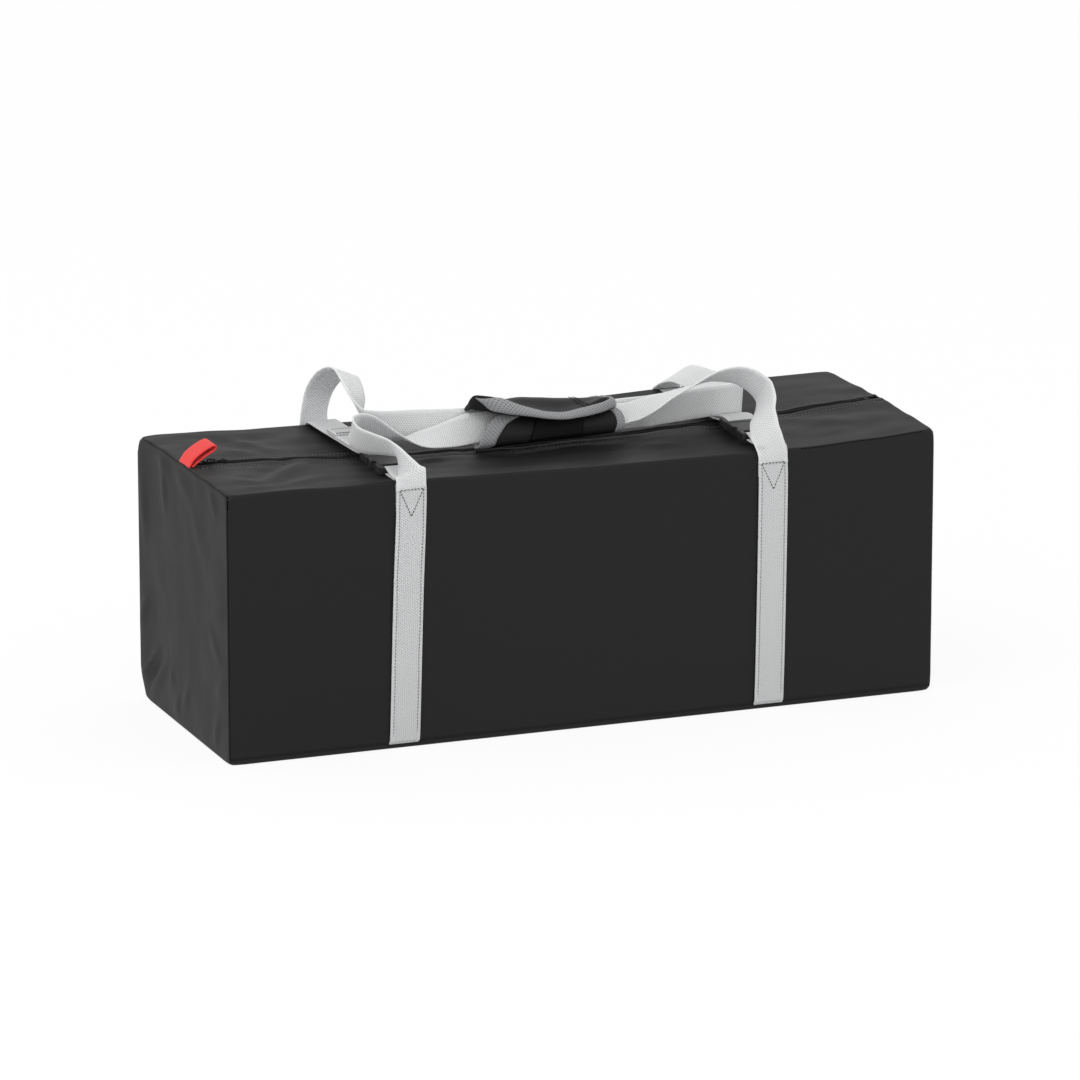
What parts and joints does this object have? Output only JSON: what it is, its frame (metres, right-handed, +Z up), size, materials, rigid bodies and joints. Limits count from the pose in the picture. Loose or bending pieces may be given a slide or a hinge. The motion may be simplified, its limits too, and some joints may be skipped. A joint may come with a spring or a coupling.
{
  "type": "roundnet set",
  "caption": "Roundnet set packed in a box-shaped zipped carry bag with webbing straps, side-release buckles, a red grab tab and a wrapped carry handle",
  "frame": {"origin": "on the floor under the middle of the bag", "axes": "+X along the bag away from the grab tab, -Y towards the front, +Z up"},
  "size_m": [0.6102, 0.2289, 0.2728],
  "materials": {
    "bag_cloth": "coated woven polyester, matt",
    "webbing": "woven polyester webbing",
    "binding": "woven binding tape",
    "hook_loop": "hook and loop tape",
    "tab_webbing": "red webbing",
    "zip_tape": "woven zip tape",
    "zip_coil": "nylon coil",
    "zip_metal": "black enamelled die-cast",
    "buckle_plastic": "moulded acetal",
    "rim_plastic": "moulded plastic",
    "leg_plastic": "moulded plastic",
    "ball_rubber": "soft rubber",
    "net_cord": "knotted net",
    "pump_plastic": "moulded plastic"
  },
  "bodies": {
    "bag": {"bag_back_panel": "bag_cloth", "bag_bottom_panel": "bag_cloth", "bag_front_panel": "bag_cloth", "bag_left_end": "bag_cloth", "bag_right_end": "bag_cloth", "bag_top_back": "bag_cloth", "bag_top_front": "bag_cloth", "ball_1": "ball_rubber", "ball_2": "ball_rubber", "ball_3": "ball_rubber", "buckle_socket_left": "buckle_plastic", "buckle_socket_right": "buckle_plastic", "cinch_back_left": "webbing", "cinch_back_right": "webbing", "cinch_front_left": "webbing", "cinch_front_right": "webbing", "handle_leg_back_left": "webbing", "handle_leg_back_right": "webbing", "handle_leg_front_left": "webbing", "handle_leg_front_right": "webbing", "net_roll": "net_cord", "pump_barrel": "pump_plastic", "pump_handle": "pump_plastic", "pump_rod": "pump_plastic", "rim_leg_1": "leg_plastic", "rim_leg_2": "leg_plastic", "rim_leg_3": "leg_plastic", "rim_leg_4": "leg_plastic", "rim_leg_5": "leg_plastic", "rim_piece_1": "rim_plastic", "rim_piece_2": "rim_plastic", "rim_piece_3": "rim_plastic", "rim_piece_4": "rim_plastic", "rim_piece_5": "rim_plastic", "strap_back_left": "webbing", "strap_back_right": "webbing", "strap_front_left": "webbing", "strap_front_right": "webbing", "zipper_coil_back": "zip_coil", "zipper_coil_front": "zip_coil", "zipper_stop_left": "zip_metal", "zipper_stop_right": "zip_metal", "zipper_tape_back": "zip_tape", "zipper_tape_front": "zip_tape"},
    "zipper_slider": {"zipper_slider": "zip_metal"},
    "zipper_puller": {"zipper_puller": "zip_metal"},
    "grab_tab": {"grab_tab": "tab_webbing"},
    "handle": {"handle_grip_front": "webbing", "handle_grip_back": "webbing", "handle_wrap_base": "bag_cloth", "handle_wrap_binding": "binding", "wrap_loop_patch": "hook_loop"},
    "wrap_flap": {"handle_wrap_flap": "bag_cloth", "wrap_hook_patch": "hook_loop"},
    "left_ladder": {"buckle_ladder_left": "buckle_plastic"},
    "right_ladder": {"buckle_ladder_right": "buckle_plastic"},
    "left_prong_outer": {"buckle_prong_left_outer": "buckle_plastic"},
    "left_prong_inner": {"buckle_prong_left_inner": "buckle_plastic"},
    "right_prong_outer": {"buckle_prong_right_outer": "buckle_plastic"},
    "right_prong_inner": {"buckle_prong_right_inner": "buckle_plastic"}
  },
  "joints": [
    {"name": "zip_slide", "type": "slide", "parent": "bag", "child": "zipper_slider", "axis": [1, 0, 0], "range_m": [0, 0.563]},
    {"name": "puller_tilt", "type": "hinge", "parent": "zipper_slider", "child": "zipper_puller", "pos_m": [-0.2815, 0, 0.2199], "axis": [0, -1, 0], "range_deg": [0, 60]},
    {"name": "tab_flex", "type": "hinge", "parent": "bag", "child": "grab_tab", "pos_m": [-0.30395, 0.002, 0.21595], "axis": [0, -1, 0], "range_deg": [0, 100]},
    {"name": "handle_lift", "type": "slide", "parent": "bag", "child": "handle", "axis": [0, 0, 1], "range_m": [0, 0.1], "deforming": ["handle_leg_back_left", "handle_leg_back_right", "handle_leg_front_left", "handle_leg_front_right"]},
    {"name": "flap_open", "type": "hinge", "parent": "handle", "child": "wrap_flap", "pos_m": [0, 0.0068, 0.2491], "axis": [-1, 0, 0], "range_deg": [0, 150]},
    {"name": "left_buckle_release", "type": "slide", "parent": "bag", "child": "left_ladder", "axis": [0, 0.998, 0.0628], "range_m": [0, 0.024], "deforming": ["cinch_back_left", "buckle_prong_left_outer", "buckle_prong_left_inner"]},
    {"name": "left_prong_outer_squeeze", "type": "hinge", "parent": "left_ladder", "child": "left_prong_outer", "pos_m": [-0.1621, -0.0519, 0.22518], "axis": [0, -0.0628, 0.998], "range_deg": [0, 15], "stiffness_Nm_per_rad": 0.05},
    {"name": "left_prong_inner_squeeze", "type": "hinge", "parent": "left_ladder", "child": "left_prong_inner", "pos_m": [-0.1399, -0.0519, 0.22518], "axis": [0, 0.0628, -0.998], "range_deg": [0, 15], "stiffness_Nm_per_rad": 0.05},
    {"name": "right_buckle_release", "type": "slide", "parent": "bag", "child": "right_ladder", "axis": [0, 0.998, 0.0628], "range_m": [0, 0.024], "deforming": ["cinch_back_right", "buckle_prong_right_outer", "buckle_prong_right_inner"]},
    {"name": "right_prong_outer_squeeze", "type": "hinge", "parent": "right_ladder", "child": "right_prong_outer", "pos_m": [0.1721, -0.0519, 0.22518], "axis": [0, 0.0628, -0.998], "range_deg": [0, 15], "stiffness_Nm_per_rad": 0.05},
    {"name": "right_prong_inner_squeeze", "type": "hinge", "parent": "right_ladder", "child": "right_prong_inner", "pos_m": [0.1499, -0.0519, 0.22518], "axis": [0, -0.0628, 0.998], "range_deg": [0, 15], "stiffness_Nm_per_rad": 0.05}
  ],
  "couplings": [
    {"joint": "left_prong_inner_squeeze", "follows": "left_prong_outer_squeeze", "ratio": 1},
    {"joint": "right_prong_inner_squeeze", "follows": "right_prong_outer_squeeze", "ratio": 1}
  ]
}
